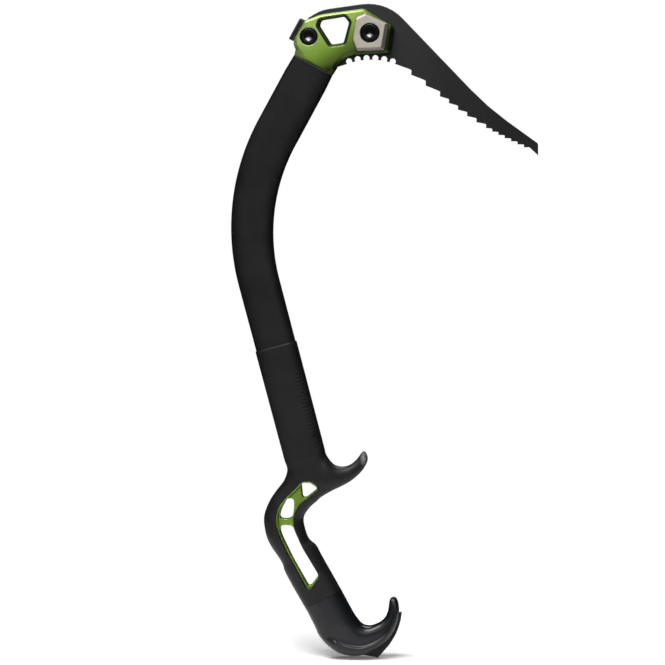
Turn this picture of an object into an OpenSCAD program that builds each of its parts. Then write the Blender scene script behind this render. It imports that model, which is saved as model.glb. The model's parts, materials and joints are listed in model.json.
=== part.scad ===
// Ice climbing tool: a bent tube shaft with a two-cheek head, a toothed pick and a small
// hammer at the top, and a moulded handle on an open frame with a hooked pommel below.
// Millimetres. +X is the way the pick points, +Z is up, +Y is across the tool.
// The origin is at the middle of the lower hand's hold on the handle.

/* [Shaft] */
// Backward lean of the lower straight, degrees from upright
lower_lean = 15; // [10:0.5:20]
// Forward lean of the upper straight, degrees from upright
upper_lean = 28.5; // [22:0.5:34]
// Length of the lower straight, from the handle's seam to the bend
lower_len = 140; // [120:1:180]
// Length of the upper straight, from the bend to the head
upper_len = 57; // [40:1:80]
// Radius of the bend, on the back edge
bend_radius = 173.5; // [140:0.5:220]
// Front-to-back depth of the tube at the handle
depth_low = 30.4; // [28:0.1:33]
// Front-to-back depth of the tube where the bend starts
depth_mid = 31.3; // [29:0.1:34]
// Front-to-back depth of the tube above the bend
depth_top = 34.4; // [32:0.1:37]
// Side-to-side thickness of the tube
shaft_thick = 20; // [18:0.1:22]
// Wall of the tube
shaft_wall = 1.8; // [1.2:0.1:2.5]

/* [Head] */
// Front-to-back depth of the neck where it meets the tube
neck_depth = 33.2; // [31:0.1:34.2]
// How far the pick bolt lies in front of the neck's centre
bolt_reach = 44; // [40:0.5:48]
// How far the pick bolt lies above the neck's centre
bolt_rise = 24.5; // [23:0.5:29]
// How far the rear bolt lies behind the pick bolt
rear_back = 47; // [45:0.5:50]
// How far the rear bolt lies below the pick bolt
rear_drop = 2.7; // [1:0.1:4]
// Length of the head's tang inside the tube
head_tang = 45; // [30:1:52]
// Height of the slot's floor above the neck's joint with the tube
slot_floor = 7; // [6:0.5:8]
// Bevel along the cheeks' upper outline
cheek_bevel = 1.6; // [0.8:0.1:2.2]
// Bevel along the cheeks' lower and front outline
lower_bevel = 2.8; // [2:0.1:3.4]
// Bevel round the window's rim
rim_bevel = 2.3; // [1:0.1:2.6]

/* [Pick] */
// Thickness of the blade
pick_thick = 4; // [3:0.1:5]
// Thickness of the blade at its point
point_thick = 2.6; // [2:0.1:3]
// Spacing of the three coarse teeth behind the first one
coarse_pitch = 13.7; // [12:0.1:15]
// Spacing of the five middle teeth
middle_pitch = 8.55; // [7.5:0.05:9.5]
// Spacing of the six fine teeth near the point
fine_pitch = 5.4; // [4.8:0.1:6]
// Depth of the coarse teeth
coarse_depth = 3.7; // [3:0.1:4.5]
// Depth of the middle teeth
middle_depth = 3; // [2.4:0.1:3.6]
// Depth of the fine teeth
fine_depth = 2.2; // [1.8:0.1:2.8]
// Spacing of the round notches under the head
notch_pitch = 6.8; // [6:0.1:7]
// Radius of the round notches under the head
notch_radius = 2.4; // [1.8:0.1:2.8]

/* [Hammer] */
// Distance of the hammer's back from the rear bolt
hammer_setback = 9.1; // [7.8:0.1:11]
// Thickness of the hammer's face block
hammer_block = 3.7; // [3:0.1:6]
// Length of the hammer's face
hammer_len = 18; // [14:0.5:20]
// Width of the hammer's face across the tool
hammer_width = 16; // [10:0.5:20]

/* [Fasteners] */
// Diameter of the pick bolt
pick_bolt_d = 8; // [6:0.5:9]
// Diameter of the pick bolt's head
pick_head_d = 14.2; // [12:0.2:15]
// Diameter of the rear bolt
rear_bolt_d = 6; // [5:0.5:7]
// Diameter of the rear bolt's head
rear_head_d = 12.6; // [10:0.2:13]
// Diameter of the pommel bolt
pommel_bolt_d = 5; // [4:0.5:6]
// Diameter of the pommel bolt's head
pommel_head_d = 8.8; // [8:0.2:10]
// Height of the bolts' heads
bolt_head = 3.8; // [3.4:0.1:4.2]
// Width across flats of the hexagon sockets in the head's bolts
socket_flats = 6; // [4:0.5:6.5]
// Width across flats of the hexagon socket in the pommel bolt
pommel_socket = 4; // [3:0.5:5]
// Depth of the hexagon sockets
socket_depth = 2.6; // [2:0.1:3]
// How far the collar stands proud of the cheek
collar_proud = 3; // [2:0.1:4]
// How far the collar is let into the cheek
collar_sunk = 3.5; // [3:0.1:4]
// How far the far-side nut stands proud of the cheek
nut_proud = 2.5; // [1.5:0.1:4]
// Width across flats of the rear nut
rear_nut_flats = 10; // [9:0.5:11]
// Diameter of the two pins through the tube and the frame's tang
pin_d = 5; // [4:0.5:6]

/* [Handle] */
// How far the tube's lower end lies in front of the hand's centre
seam_x = 4; // [2:0.5:6]
// How far the tube's lower end lies above the hand's centre
seam_z = 72.4; // [70:0.5:78]
// Length of the rubber sleeve on the tube
sleeve_len = 88; // [70:1:110]
// Wall of the rubber sleeve
sleeve_wall = 0.75; // [0.6:0.05:1.5]
// Side-to-side thickness of the moulded grip
grip_thick = 25; // [22:0.5:28]
// Front-to-back depth of the grip at its lower end
grip_depth = 30.8; // [29:0.1:33]
// Backward lean of the handle below the hand, degrees from upright
handle_lean = 28.9; // [26:0.1:32]
// Thickness of the alloy frame
frame_thick = 12; // [11:0.5:16]
// Front-to-back width of the alloy frame inside the grip
frame_width = 21; // [19:0.5:23]
// Length of the frame's tang inside the tube
frame_tang = 60; // [45:1:80]
// Length of the frame's tail inside the pommel
tail_len = 26; // [24:0.5:28]
// Front-to-back width of the frame's tail
tail_width = 16; // [13:0.5:18]
// Side-to-side thickness of the trigger at its root
trigger_thick = 21; // [18:0.5:23]

/* [Pommel] */
// Sliding travel of the pommel on the frame's tail
pommel_travel = 8; // [4:0.5:10]
// Side-to-side thickness of the pommel
pommel_thick = 25; // [24:0.5:30]
// How far the lip along the pommel's outer edge stands proud of its panel
lip_proud = 2.4; // [0.5:0.1:3]
// Thickness of the spike's plate
spike_thick = 4; // [3:0.1:5]
// Radius of the spike's outer edge
spike_radius = 47; // [46:0.1:48.5]

/* [Fits] */
// Gap between bonded or moulded pieces
bond_gap = 0.05; // [0.02:0.01:0.1]
// Radial clearance of a bolt in its hole
bolt_gap = 0.05; // [0.02:0.01:0.09]
// Clearance of a plate in its slot, each side
slot_gap = 0.15; // [0.1:0.05:0.3]
// Clearance between pieces that move past each other
slide_gap = 0.3; // [0.2:0.05:0.4]
// Gap between the grip and the pommel when the pommel is pushed home
seam_gap = 0.1; // [0.05:0.05:0.4]

/* [Hidden] */

// Colours as the object shows them
tube_black = "#26272a";
rubber_black = "#2b2c2e";
alloy_green = "#8fb33a";
blade_grey = "#55565a";
bolt_black = "#1b1b1d";
bare_metal = "#b9b2a8";
pommel_grey = "#3a3c40";

// Roundness
round_sides = 96;
oval_sides = 32;
lip_sides = 48;
arc_step = 9;

// Width of the step up to the pommel's lip, as a share of the half depth
lip_rise = 0.105;

// Directions in the tool's own plane, as [x, z], for a line that leans forward by an angle
function along(lean) = [sin(lean), cos(lean)];
function across(lean) = [cos(lean), -sin(lean)];
function turned(p, lean) = p.x * across(lean) + p.y * along(lean);
function unit(v) = v / norm(v);
function left_of(v) = [-v.y, v.x];

// Outline with each corner [x, z, radius] rounded by an arc
function corner_arc(before, corner, after) =
    let(
        p = [corner.x, corner.y],
        radius = corner.z,
        d1 = unit(p - [before.x, before.y]),
        d2 = unit([after.x, after.y] - p),
        side = sign(cross(d1, d2)),
        turn = acos(min(1, max(-1, d1 * d2))),
        start = p - d1 * radius * tan(turn / 2),
        centre = start + side * radius * left_of(d1),
        steps = max(1, ceil(turn / arc_step))
    )
    radius == 0 ? [p] : [for (i = [0 : steps])
        let(a = side * turn * i / steps, v = start - centre)
        centre + [v.x * cos(a) - v.y * sin(a), v.x * sin(a) + v.y * cos(a)]];
function rounded(corners) =
    let(n = len(corners))
    [for (i = [0 : n - 1]) each corner_arc(corners[(i + n - 1) % n], corners[i], corners[(i + 1) % n])];

// Outline moved inwards by a distance, or outwards by a negative one (outline runs anticlockwise)
function inset(points, distance) =
    let(n = len(points))
    [for (i = [0 : n - 1])
        let(
            n1 = left_of(unit(points[i] - points[(i + n - 1) % n])),
            n2 = left_of(unit(points[(i + 1) % n] - points[i]))
        )
        points[i] + distance * (n1 + n2) / (1 + n1 * n2)];

// Smooth curve through a list of stations, with a number of steps between each two
function between(a, b, c, d, t) =
    0.5 * (2 * b + (c - a) * t + (2 * a - 5 * b + 4 * c - d) * t * t + (3 * b - a - 3 * c + d) * t * t * t);
function smooth(list, steps) =
    let(last = len(list) - 1)
    concat(
        [for (i = [0 : last - 1], j = [0 : steps - 1])
            between(list[max(i - 1, 0)], list[i], list[i + 1], list[min(i + 2, last)], j / steps)],
        [list[last]]);

// Closed oval rib, squarer with a larger power, with a lip that stands proud along its second side
function oval(power, sides) = [for (i = [0 : sides - 1])
    let(c = cos(360 * i / sides), s = sin(360 * i / sides))
    [sign(c) * pow(abs(c), 2 / power), sign(s) * pow(abs(s), 2 / power)]];
function lip_share(x, start) = min(1, max(0, (x - start) / lip_rise));
function rib(middle, direction, half_depth, half_thick, power, lip = 0, lip_start = 1, sides = oval_sides) =
    [for (p = oval(power, sides))
        let(q = middle + direction * half_depth * p.x)
        [q.x, p.y * (half_thick + lip * lip_share(p.x, lip_start)), q.y]];

// Rib between two edge points: a station is [x1, z1, x2, z2, half thickness, power] and, with a lip,
// how proud it stands and the share of the half depth where it starts
function edge_rib(s, sides = oval_sides) =
    let(a = [s[0], s[1]], b = [s[2], s[3]])
    rib((a + b) / 2, unit(b - a), norm(b - a) / 2, s[4], s[5], len(s) > 6 ? s[6] : 0, len(s) > 6 ? s[7] : 1,
        sides);

// Solid through a row of ribs
module loft(ribs) {
    n = len(ribs[0]);
    last = len(ribs) - 1;
    sides = [for (j = [0 : last - 1], i = [0 : n - 1])
        let(k = (i + 1) % n)
        each [[j * n + i, (j + 1) * n + i, j * n + k], [j * n + k, (j + 1) * n + i, (j + 1) * n + k]]];
    caps = [[for (i = [0 : n - 1]) i], [for (i = [n - 1 : -1 : 0]) last * n + i]];
    polyhedron([for (r = ribs) each r], concat(sides, caps), convexity = 8);
}

// Flat plate in the tool's own plane, from y1 to y2
module plate(points, y1, y2) {
    translate([0, y2, 0]) rotate([90, 0, 0]) linear_extrude(y2 - y1) polygon(points);
}

// Plate of a thickness about the middle plane, bevelled along its outline on both faces
module bevelled_plate(points, thick, bevel) {
    function ring(y, d) = [for (p = inset(points, d)) [p.x, y, p.y]];
    loft([ring(thick / 2, bevel), ring(thick / 2 - bevel, 0), ring(bevel - thick / 2, 0),
        ring(-thick / 2, bevel)]);
}

// Round rod across the tool at a point of its plane, from y1 to y2
module cross_rod(p, d, y1, y2, sides = round_sides) {
    translate([p.x, y2, p.y]) rotate([90, 0, 0]) cylinder(h = y2 - y1, d = d, $fn = sides);
}

// Diameter over the corners of a hexagon with a width across flats
function over_corners(flats) = flats / cos(30);

// The tube's back edge runs up a straight, round the bend and up a second straight
bend_angle = lower_lean + upper_lean;
bend_len = bend_radius * bend_angle * PI / 180;
shaft_len = lower_len + bend_len + upper_len;
seam = [seam_x, seam_z];
back_start = seam - across(-lower_lean) * depth_low / 2;
bend_start = back_start + along(-lower_lean) * lower_len;
bend_centre = bend_start + across(-lower_lean) * bend_radius;
bend_end = bend_centre - across(upper_lean) * bend_radius;
mouth_len = 14;
bend_ribs = 10;

function shaft_lean(s) =
    s < lower_len ? -lower_lean
    : s < lower_len + bend_len ? (s - lower_len) / bend_len * bend_angle - lower_lean
    : upper_lean;
function shaft_back(s) =
    s < lower_len ? back_start + along(-lower_lean) * s
    : s < lower_len + bend_len ? bend_centre - across(shaft_lean(s)) * bend_radius
    : bend_end + along(upper_lean) * (s - lower_len - bend_len);
function shaft_depth(s) = lookup(s,
    [[0, depth_low], [lower_len, depth_mid], [lower_len + bend_len, depth_top], [shaft_len, depth_top]]);
// The tube draws in a little at its mouth to meet the neck
function mouth_depth(s) = min(shaft_depth(s),
    lookup(s, [[shaft_len - mouth_len, depth_top], [shaft_len, neck_depth]]));
function shaft_middle(s) = shaft_back(s) + across(shaft_lean(s)) * shaft_depth(s) / 2;
tube_power = 3.6;
// Rib of the tube, grown outwards by a distance, or inwards by a negative one
function shaft_rib(s, grow) =
    rib(shaft_middle(s), across(shaft_lean(s)), mouth_depth(s) / 2 + grow, shaft_thick / 2 + grow,
        tube_power);
shaft_stops = concat([sleeve_len, lower_len],
    [for (i = [1 : bend_ribs]) lower_len + bend_len * i / bend_ribs],
    [shaft_len - mouth_len]);

// Head frame: origin on the pick bolt, upright when the tube's upper lean is the neck's own
neck_lean = 28.5;
head_turn = upper_lean - neck_lean;
neck = [-bolt_reach, -bolt_rise];
rear = [-rear_back, -rear_drop];
head_origin = shaft_middle(shaft_len) - turned(neck, head_turn);
head_thick = shaft_thick;
slot_width = pick_thick + 2 * slot_gap;
cheek = head_thick / 2;

module at_head() {
    translate([head_origin.x, 0, head_origin.y]) rotate([0, head_turn, 0]) children();
}

// Points in the neck's own directions: forwards and upwards from a base point
function from(base, forwards, upwards) = base + across(neck_lean) * forwards + along(neck_lean) * upwards;
function corner(p, radius) = [p.x, p.y, radius];

// Cheek outline, anticlockwise from the front of the neck
hammer_gap = 0.3;
cheek_back = hammer_gap - hammer_setback;
head_side = from(rear, cheek_back, 0.4 - hammer_len / 2);
neck_side = from(neck, -neck_depth / 2, 0);
head_outline = rounded([
    corner(from(neck, neck_depth / 2, 0), 0),
    [-20.6, -17.3, 20],
    [15.4, -15.6, 4],
    [18.6, 4.4, 4],
    [-5, 18.6, 3.5],
    corner(rear + [9, 16.8], 25),
    corner(from(rear, cheek_back, hammer_len / 2), 3.5),
    corner(head_side, 3.5),
    corner(neck_side, 0)]);

// Outline with the head's lower and front edges alone, which carry the wider bevel
lower_outline = rounded([
    corner(from(neck, neck_depth / 2, -4), 0),
    [-20.6, -17.3, 20],
    [15.4, -15.6, 4],
    [22.4, 28, 0],
    corner(head_side + 3 * (head_side - neck_side), 0),
    corner(neck_side + 0.4 * (neck_side - head_side), 0)]);

// Growth of the neck from the tube's section into the cheeks: height above the joint, then what
// the half depth and the half thickness gain, then the squareness
neck_growth = [
    [-1.5, -0.4, -0.1, tube_power],
    [4, 1, 0.2, 4.5],
    [9, 7, 0.5, 7],
    [14, 25, 1, 12],
    [90, 75, 2, 12]];

// Window through the head, anticlockwise from its lower front
window_outline = rounded([
    [-20.4, -7.5, 1.6],
    [-16.3, 8, 1.8],
    [-19.8, 12.4, 1.8],
    corner(rear + [9, 12.2], 2.4),
    corner(rear + [7.6, 8], 2.4),
    corner(rear + [16.7, -6.2], 2)]);

// Six-sided outline of the collar and the far-side nut, anticlockwise, and the bevel of each side
collar_corners = [
    [11, -13.2, 1],
    [14.4, 6.6, 1],
    [-3.6, 15, 1],
    [-10.2, 11.8, 1],
    [-13.1, -5, 1],
    [-9.8, -13.9, 1]];
collar_outline = rounded(collar_corners);
collar_bevels = [2.8, 1.5, 1.7, 0.7, 1, 2.4];
nut_bevels = [1.6, 1.6, 1.6, 1.6, 1.6, 1.6];

// Row of teeth: a chord from the first tooth, bowed by a skewed half wave
tooth_start = [19.8, -24.1];
tooth_slope = -33;
tooth_bow = 3.7;
tooth_skew = 1.45;
coarse_teeth = 3;
middle_teeth = 5;
fine_teeth = 6;
tooth_steps = concat([for (i = [1 : coarse_teeth]) [coarse_pitch, coarse_depth]],
    [for (i = [1 : middle_teeth]) [middle_pitch, middle_depth]],
    [for (i = [1 : fine_teeth]) [fine_pitch, fine_depth]]);
tooth_count = len(tooth_steps);
function run_to(i) = i == 0 ? 0 : run_to(i - 1) + tooth_steps[i - 1][0];
tooth_run = run_to(tooth_count);
function tooth(i) =
    let(u = run_to(i))
    tooth_start + u * [cos(tooth_slope), sin(tooth_slope)]
        + tooth_bow * sin(180 * pow(u / tooth_run, tooth_skew)) * [sin(tooth_slope), -cos(tooth_slope)];
last_tooth = tooth(tooth_count);
// Rounded root of the gap in front of a tooth
gullet_share = 0.4;
function gullet(i) =
    let(depth = tooth_steps[i - 1][1])
    corner(tooth(i) + [0.3, depth], gullet_share * depth);

// Arc of the round notches under the head
notch_count = 6;
notch_arc = 54.6;
notch_middle = [0.1, -75.1];
notch_lift = 1.2;
notch_step = notch_pitch / (notch_arc + notch_lift) * 180 / PI;
function on_notch_arc(angle, radius) = notch_middle + radius * along(angle);

// Blade's point and the bow of its back, measured from the last tooth
point_step = [4.2, 0.1];
point_low = [10.9, -6.1];
point_high = [10.9, 2.9];
back_bow = [-27.7, 30.7];
back_radius = 200;

// Pick outline, anticlockwise from the lower end of its fork
fork_x = rear.x - 1;
pick_foot = from(neck, neck_depth / 2, slot_floor + slot_gap);
fork_low = [fork_x, pick_foot.y + (pick_foot.x - fork_x) * tan(neck_lean)];
pick_outline = concat(
    [fork_low, pick_foot],
    [for (i = [0 : 8]) on_notch_arc(-22 + 5 * i, notch_arc)],
    [for (i = [0 : tooth_count - 1])
        each concat([tooth(i)], corner_arc(tooth(i), gullet(i + 1), tooth(i + 1)))],
    [last_tooth, last_tooth + point_step],
    rounded([
        corner(last_tooth + point_low, 0),
        corner(last_tooth + point_high, 2.5),
        corner(last_tooth + back_bow, back_radius),
        [11.4, 24.5, 36],
        corner(rear + [9, 20.3], 30),
        corner([fork_x, rear.y + 14.2], 0)]));

// Blade thins towards its point from the first tooth on
module blade_taper() {
    blade_end = last_tooth + point_low + [1, 0];
    half = pick_thick / 2;
    back = -2 * rear_back;
    linear_extrude(4 * tooth_run, center = true)
        polygon([[back, -half], [tooth_start.x, -half], [blade_end.x, -point_thick / 2],
            [blade_end.x, point_thick / 2], [tooth_start.x, half], [back, half]]);
}

// Hammer's boss round the rear bolt
boss_r = 7.4;

module shaft() {
    pin_hole = pin_d + 2 * bond_gap;
    color(tube_black) difference() {
        loft([for (s = concat([0], shaft_stops, [shaft_len])) shaft_rib(s, 0)]);
        loft([for (s = concat([-1], shaft_stops, [shaft_len + 1])) shaft_rib(s, -shaft_wall)]);
        for (s = pin_places) cross_rod(shaft_middle(s), pin_hole, -shaft_thick, shaft_thick);
    }
}

module head() {
    function neck_rib(up, half_depth, half_thick, power) =
        rib(from(neck, 0, up), across(neck_lean), half_depth, half_thick, power);
    bevel_margin = 0.3;
    beyond = 3 * rear_back;
    tang_fit = shaft_wall + bond_gap;
    tang_top = slot_floor - 2;
    tang_top_depth = neck_depth - (depth_top - neck_depth) * tang_top / mouth_len;
    collar_fit = inset(collar_outline, -bond_gap);
    bolt_hole = pick_bolt_d + 2 * bolt_gap;
    rear_hole = rear_bolt_d + 2 * bolt_gap;
    color(alloy_green) at_head() difference() {
        union() {
            intersection() {
                bevelled_plate(head_outline, head_thick, cheek_bevel);
                bevelled_plate(inset(lower_outline, -bevel_margin), head_thick + 0.1,
                    lower_bevel + bevel_margin);
                loft([for (g = neck_growth) neck_rib(g[0], neck_depth / 2 + g[1], cheek + g[2], g[3])]);
            }
            loft([
                neck_rib(-head_tang, depth_top / 2 - tang_fit, cheek - tang_fit, tube_power),
                neck_rib(-mouth_len, depth_top / 2 - tang_fit, cheek - tang_fit, tube_power),
                neck_rib(tang_top, tang_top_depth / 2 - tang_fit, cheek - tang_fit, tube_power)]);
        }
        plate([from(neck, -beyond, slot_floor), from(neck, beyond, slot_floor), from(neck, beyond, beyond),
            from(neck, -beyond, beyond)], -slot_width / 2, slot_width / 2);
        plate(window_outline, -head_thick, head_thick);
        window_rim();
        mirror([0, 1, 0]) window_rim();
        for (side = [-1, 1])
            plate(collar_fit, side > 0 ? cheek - collar_sunk : -head_thick,
                side > 0 ? head_thick : collar_sunk - cheek);
        cross_rod([0, 0], bolt_hole, -head_thick, head_thick);
        cross_rod(rear, rear_hole, -head_thick, head_thick);
        cross_rod(rear, rear_head_d + 2 * head_room, -head_thick, rear_seat);
        cross_rod(rear, over_corners(rear_nut_flats + 2 * bond_gap), rear_nut_seat, head_thick, 6);
    }
}

// Bevel of the window's rim on the +Y face
module window_rim() {
    loft([
        [for (p = inset(window_outline, -rim_bevel - 1)) [p.x, cheek + 1, p.y]],
        [for (p = window_outline) [p.x, cheek - rim_bevel, p.y]]]);
}

// Bolt seats across the head and the pommel
head_room = 0.45;
head_sink = 0.4;
collar_top = -cheek - collar_proud;
pick_seat = collar_top + head_sink + bolt_head + bolt_gap;
nut_top = cheek + nut_proud;
rear_seat = bolt_head + head_sink + bolt_gap - cheek;
rear_nut_high = 5;
rear_nut_seat = cheek - head_sink - rear_nut_high - bond_gap;

// Socket-head bolt with its seat at y_seat, pointing towards +Y with way 1 or -Y with way -1
module socket_bolt(p, d, head_d, flats, y_seat, y_end, way) {
    length = abs(y_end - y_seat);
    bevel = 0.5;
    socket_d = over_corners(flats);
    translate([p.x, y_seat, p.y]) rotate([-90 * way, 0, 0]) difference() {
        rotate_extrude($fn = round_sides)
            polygon([[0, -bolt_head - bolt_gap], [head_d / 2 - bevel, -bolt_head - bolt_gap],
                [head_d / 2, bevel - bolt_head - bolt_gap], [head_d / 2, -bolt_gap],
                [d / 2, -bolt_gap], [d / 2, length - bevel], [d / 2 - bevel, length], [0, length]]);
        translate([0, 0, -bolt_head - bolt_gap - 1]) cylinder(h = socket_depth + 1, d = socket_d, $fn = 6);
    }
}

module pick() {
    rear_clear = 2 * (boss_r + slot_gap);
    color(blade_grey) at_head() difference() {
        intersection() {
            plate(pick_outline, -pick_thick, pick_thick);
            blade_taper();
        }
        plate(inset(window_outline, -rim_bevel / 2), -pick_thick, pick_thick);
        for (i = [0 : notch_count - 1])
            cross_rod(on_notch_arc((i - (notch_count - 1) / 2) * notch_step, notch_arc + notch_lift),
                2 * notch_radius, -pick_thick, pick_thick);
        cross_rod([0, 0], pick_bolt_d + 2 * bolt_gap, -pick_thick, pick_thick);
        cross_rod(rear, rear_clear, -pick_thick, pick_thick);
    }
}

// Six-sided plate from inside the cheek at y_in to its outer face at y_out, bevelled along its sides
module six_sided(y_in, y_out, bevels) {
    n = len(collar_corners);
    difference() {
        plate(collar_outline, min(y_in, y_out), max(y_in, y_out));
        for (i = [0 : n - 1])
            side_bevel(collar_corners[i], collar_corners[(i + 1) % n], y_out, sign(y_out), bevels[i]);
    }
}

// Cutter for the bevel along a side from a to b, where the side meets a face at y
module side_bevel(a, b, y, way, bevel) {
    size = 40;
    slope = atan2(b.y - a.y, b.x - a.x);
    translate([(a.x + b.x) / 2, y, (a.y + b.y) / 2]) rotate([0, -slope, 0]) translate([0, 0, bevel])
        rotate([way > 0 ? -45 : -135, 0, 0]) translate([-size / 2, 0, -size / 2]) cube(size);
}

module pick_collar() {
    color(bare_metal) at_head() difference() {
        six_sided(collar_sunk - cheek - bond_gap, collar_top, collar_bevels);
        cross_rod([0, 0], pick_head_d + 2 * head_room, -head_thick, pick_seat);
        cross_rod([0, 0], pick_bolt_d + 2 * bolt_gap, -head_thick, head_thick);
    }
}

module pick_nut() {
    color(bare_metal) at_head() difference() {
        six_sided(cheek - collar_sunk + bond_gap, nut_top, nut_bevels);
        cross_rod([0, 0], pick_bolt_d + 2 * bolt_gap, -head_thick, head_thick);
    }
}

module pick_bolt() {
    color(bolt_black) at_head()
        socket_bolt([0, 0], pick_bolt_d, pick_head_d, socket_flats, pick_seat, nut_top - 2 * head_sink, 1);
}

module hammer() {
    half = hammer_len / 2;
    tang_x = rear.x - 1 - slot_gap;
    color(blade_grey) at_head() difference() {
        union() {
            bevelled_hammer_block();
            plate([[tang_x, rear.y + boss_r - 0.1], from(rear, -hammer_setback - 1, half - 1),
                from(rear, -hammer_setback - 1, 1 - half), from(rear, -hammer_setback + 2.4, 0.9 - half),
                [tang_x, rear.y - boss_r + 0.1]], -pick_thick / 2, pick_thick / 2);
            cross_rod(rear, 2 * boss_r, -pick_thick / 2, pick_thick / 2);
        }
        cross_rod(rear, rear_bolt_d + 2 * bolt_gap, -head_thick, head_thick);
    }
}

module bevelled_hammer_block() {
    half = hammer_len / 2;
    block = rounded([
        corner(from(rear, -hammer_setback, half), 0.6),
        corner(from(rear, -hammer_setback - hammer_block, half), 0.8),
        corner(from(rear, -hammer_setback - hammer_block, -half), 0.8),
        corner(from(rear, -hammer_setback, -half), 0.6)]);
    bevelled_plate(block, hammer_width, 0.5);
}

module rear_bolt() {
    color(bolt_black) at_head()
        socket_bolt(rear, rear_bolt_d, rear_head_d, socket_flats, rear_seat, cheek - 2 * head_sink, 1);
}

module rear_nut() {
    color(bolt_black) at_head() difference() {
        cross_rod(rear, over_corners(rear_nut_flats), rear_nut_seat + bond_gap, cheek - head_sink, 6);
        cross_rod(rear, rear_bolt_d + 2 * bolt_gap, 0, head_thick);
    }
}

// Sleeve on the tube, from the seam up
module upper_grip() {
    lip = 1.2;
    stops = [bond_gap, sleeve_len - lip, sleeve_len];
    color(rubber_black) difference() {
        loft([shaft_rib(stops[0], sleeve_wall), shaft_rib(stops[1], sleeve_wall),
            shaft_rib(stops[2], sleeve_wall - 0.4)]);
        loft([for (s = [-1, sleeve_len + 1]) shaft_rib(s, bond_gap)]);
    }
}

// Grip body from the seam down, as stations of front and back edge points
grip_half = grip_thick / 2;
pommel_seam = [18, -37.4];
pommel_axis = along(-handle_lean);
grip_front = seam + across(-lower_lean) * (depth_low / 2 + sleeve_wall);
grip_back = seam - across(-lower_lean) * (depth_low / 2 + sleeve_wall);
sleeve_half = shaft_thick / 2 + sleeve_wall;
grip_foot_front = pommel_seam + across(-handle_lean) * grip_depth / 2;
grip_foot_back = pommel_seam - across(-handle_lean) * grip_depth / 2;
soft_power = 2.7;
grip_stations = [
    [grip_front.x, grip_front.y, grip_back.x, grip_back.y, sleeve_half, tube_power],
    [21, 62, -9.6, 62.4, sleeve_half + 0.3, 3.3],
    [20, 50.8, -12.3, 53.9, grip_half - 0.8, 3],
    [15.3, 40.4, -18.5, 45.8, grip_half - 0.3, soft_power],
    [7.6, 33.2, -24, 37, grip_half, soft_power],
    [2.8, 25, -27.8, 25.4, grip_half, soft_power],
    [4.6, 14.6, -26.1, 12.2, grip_half, soft_power],
    [7.6, 8.2, -22.5, 3.7, grip_half, soft_power],
    [12.4, 4.2, -17.5, -3.6, grip_half, soft_power],
    [16.2, -2.7, -13.2, -10.6, grip_half, soft_power],
    [21.6, -12.3, -10.5, -18.6, grip_half, soft_power],
    [grip_foot_front.x, grip_foot_front.y, grip_foot_back.x, grip_foot_back.y, grip_half, 3.2]];
grip_curve = smooth(grip_stations, 3);

// Trigger from its root in the grip to its tip, as stations of upper and lower edge points
trigger_half = trigger_thick / 2;
trigger_stations = [
    [16, 80, 8, 34, trigger_half - 1, soft_power],
    [20.6, 73.3, 15.4, 40.5, trigger_half + 0.6, soft_power],
    [23.9, 68.5, 23.8, 45.6, trigger_half, soft_power],
    [27.7, 65.6, 30.8, 49, trigger_half - 1, soft_power],
    [33.1, 64.8, 37.7, 52.7, trigger_half - 2.2, soft_power],
    [38.5, 66.2, 43.9, 57.5, trigger_half - 3.6, soft_power],
    [43.1, 69.8, 48.9, 62.9, trigger_half - 5, soft_power],
    [46.2, 73.8, 51.9, 68.5, trigger_half - 6, soft_power],
    [47.8, 76, 52.2, 73, trigger_half - 7.2, soft_power],
    [49, 77.2, 50.4, 76.6, trigger_half - 9, soft_power]];

// Opening of the grip that shows the frame, anticlockwise from its upper end
opening_outline = rounded([
    [2.7, 53.7, 3],
    [-21.8, 29.4, 22],
    [-11.6, 3.9, 60],
    [7.5, -30.9, 2],
    [15.8, -19.3, 2.5],
    [1.9, 3.9, 40],
    [-9.1, 28.8, 20],
    [15.5, 48, 1.6],
    [9.7, 53.7, 4]]);

// Windows of the frame, anticlockwise from their upper back corners
frame_windows = [
    rounded([[1, 52.4, 2], [2.2, 41, 1.5], [5.2, 41.3, 1.5], [14.2, 48.4, 1.6], [8, 52.5, 3]]),
    rounded([[-9.7, 40.3, 2.8], [-14.1, 32.2, 12], [-16.2, 24.6, 2.6], [-5.4, 24.6, 5], [-4.2, 33, 10],
        [-4.2, 40.6, 2.6]]),
    rounded([[-15.9, 19.7, 3], [-14.2, 12.2, 30], [-4.9, -6.8, 60], [7.4, -28.2, 1.8], [14.6, -18.7, 2],
        [-2.2, 11.6, 20], [-5.3, 19.7, 4]])];

// Frame in the tool's plane: a band down the middle of the grip and a spur into the trigger
function band(grow) =
    let(half = frame_width / 2 + grow)
    concat(
        [for (s = grip_curve)
            let(a = [s[0], s[1]], b = [s[2], s[3]]) (a + b) / 2 + unit(b - a) * half],
        [for (i = [len(grip_curve) - 1 : -1 : 0])
            let(s = grip_curve[i], a = [s[0], s[1]], b = [s[2], s[3]]) (a + b) / 2 - unit(b - a) * half]);
spur_outline = rounded([[-4, 62, 2], [-4, 42.5, 2], [13.5, 43.4, 3], [29, 53, 3], [26, 61, 3]]);
tail_half = tail_width / 2;
tail_thick = frame_thick - 2;
tail_slot = pommel_bolt_d + 2 * slide_gap;

module along_handle() {
    translate([pommel_seam.x, 0, pommel_seam.y]) rotate([0, -handle_lean, 0]) children();
}

// Place of the pommel bolt below the pommel's seam, at rest
pommel_bolt_drop = tail_len - pommel_bolt_d / 2 - pommel_travel - 4;
pin_places = [frame_tang * 0.35, frame_tang * 0.75];
// Shoulder of the frame under the tube: its length and how far it draws in
shoulder_len = 8;
shoulder_in = 2;

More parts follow.
